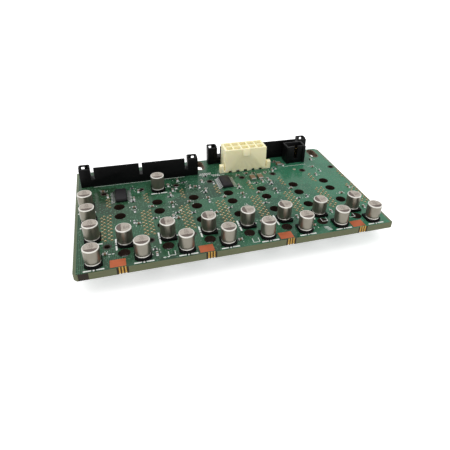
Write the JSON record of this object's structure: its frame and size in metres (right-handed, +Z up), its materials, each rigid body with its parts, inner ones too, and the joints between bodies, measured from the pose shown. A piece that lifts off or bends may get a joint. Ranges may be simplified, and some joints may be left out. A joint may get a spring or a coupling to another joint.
{
  "type": "drive backplane board",
  "caption": "Drive backplane board: a thick circuit board with drive receptacles below, and data and power connectors, airflow holes and capacitors above.",
  "frame": {"origin": "under the middle of the board, on the plane of the drive receptacles' mating faces", "axes": "+X to the right along the row of drive bays, +Y to the rear where the data connectors stand, +Z up through the board"},
  "size_m": [0.135, 0.0782, 0.024],
  "materials": {
    "solder_mask_board": "green solder mask over glass laminate",
    "black_plastic": "moulded, satin",
    "natural_nylon": "moulded, satin",
    "gold_contact": "gold plated",
    "tin_lead": "tin plated",
    "can_aluminium": "satin drawn can",
    "chip_mould": "moulded epoxy",
    "ceramic_body": "fired ceramic"
  },
  "bodies": {
    "root": {"board": "solder_mask_board", "box_header": "black_plastic", "ceramic_bodies": "ceramic_body", "ceramic_ends": "tin_lead", "data_connector_left": "black_plastic", "data_connector_right": "black_plastic", "drive_contacts_1": "gold_contact", "drive_contacts_2": "gold_contact", "drive_contacts_3": "gold_contact", "drive_contacts_4": "gold_contact", "drive_contacts_5": "gold_contact", "drive_contacts_6": "gold_contact", "drive_contacts_7": "gold_contact", "drive_contacts_8": "gold_contact", "drive_receptacle_1": "black_plastic", "drive_receptacle_2": "black_plastic", "drive_receptacle_3": "black_plastic", "drive_receptacle_4": "black_plastic", "drive_receptacle_5": "black_plastic", "drive_receptacle_6": "black_plastic", "drive_receptacle_7": "black_plastic", "drive_receptacle_8": "black_plastic", "front_row_capacitor_bases": "black_plastic", "front_row_capacitor_can_1": "can_aluminium", "front_row_capacitor_can_2": "can_aluminium", "front_row_capacitor_can_3": "can_aluminium", "front_row_capacitor_can_4": "can_aluminium", "front_row_capacitor_can_5": "can_aluminium", "front_row_capacitor_can_6": "can_aluminium", "front_row_capacitor_can_7": "can_aluminium", "front_row_capacitor_can_8": "can_aluminium", "header_pins": "gold_contact", "left_chip_body": "chip_mould", "left_chip_leads": "tin_lead", "power_connector": "natural_nylon", "power_pins": "tin_lead", "rear_capacitor_bases": "black_plastic", "rear_capacitor_can_1": "can_aluminium", "right_chip_body": "chip_mould", "right_chip_leads": "tin_lead", "second_row_capacitor_bases": "black_plastic", "second_row_capacitor_can_1": "can_aluminium", "second_row_capacitor_can_2": "can_aluminium", "second_row_capacitor_can_3": "can_aluminium", "second_row_capacitor_can_4": "can_aluminium", "second_row_capacitor_can_5": "can_aluminium", "second_row_capacitor_can_6": "can_aluminium", "second_row_capacitor_can_7": "can_aluminium", "side_column_capacitor_bases": "black_plastic", "side_column_capacitor_can_1": "can_aluminium", "side_column_capacitor_can_2": "can_aluminium", "side_column_capacitor_can_3": "can_aluminium"}
  },
  "joints": []
}
